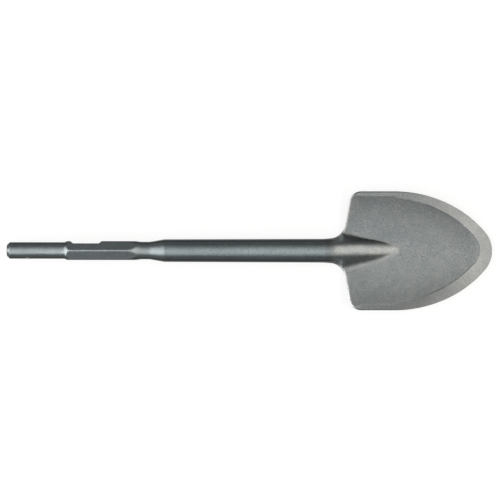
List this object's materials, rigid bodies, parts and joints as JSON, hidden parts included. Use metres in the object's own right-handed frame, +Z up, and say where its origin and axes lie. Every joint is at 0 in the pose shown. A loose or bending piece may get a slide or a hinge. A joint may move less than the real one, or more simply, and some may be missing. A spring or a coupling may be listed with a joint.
{
  "type": "spade chisel",
  "caption": "Spade chisel for a breaker hammer: hexagon shank with a latch notch, round shaft and a wide dished blade that narrows to a ground, rounded tip.",
  "frame": {"origin": "centre of the round end face that the hammer strikes, on the axis of the shank", "axes": "+X along the tool to the tip of the blade, +Y out of the flat with the latch notch, +Z up out of the hollow side of the blade; the tool lies on its belly side"},
  "size_m": [0.4401, 0.1078, 0.0219],
  "materials": {
    "forged_steel": "satin turned shank and shaft, shot-blasted blade with a ground edge"
  },
  "bodies": {
    "root": {"spade_chisel": "forged_steel"}
  },
  "joints": []
}
